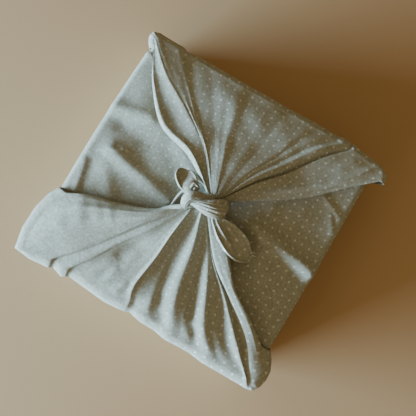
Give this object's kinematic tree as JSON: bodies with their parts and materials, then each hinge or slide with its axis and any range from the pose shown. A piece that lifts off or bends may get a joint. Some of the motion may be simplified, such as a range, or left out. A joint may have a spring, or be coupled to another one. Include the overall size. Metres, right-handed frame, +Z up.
{
  "type": "fabric gift wrap on a box",
  "caption": "Square of dotted cotton cloth wrapped round a shallow square box, pleated from two sides into a knot with short tails on its top.",
  "frame": {"origin": "middle of the flat base, on the surface that it stands on", "axes": "+Z up; +X towards the side whose panel lies over the other one, +Y towards the back fan"},
  "size_m": [0.2825, 0.2584, 0.0983],
  "materials": {
    "cloth": "soft matt cotton with small pale dots",
    "card": "plain matt card"
  },
  "bodies": {
    "root": {"wrap": "cloth", "box": "card"}
  },
  "joints": []
}
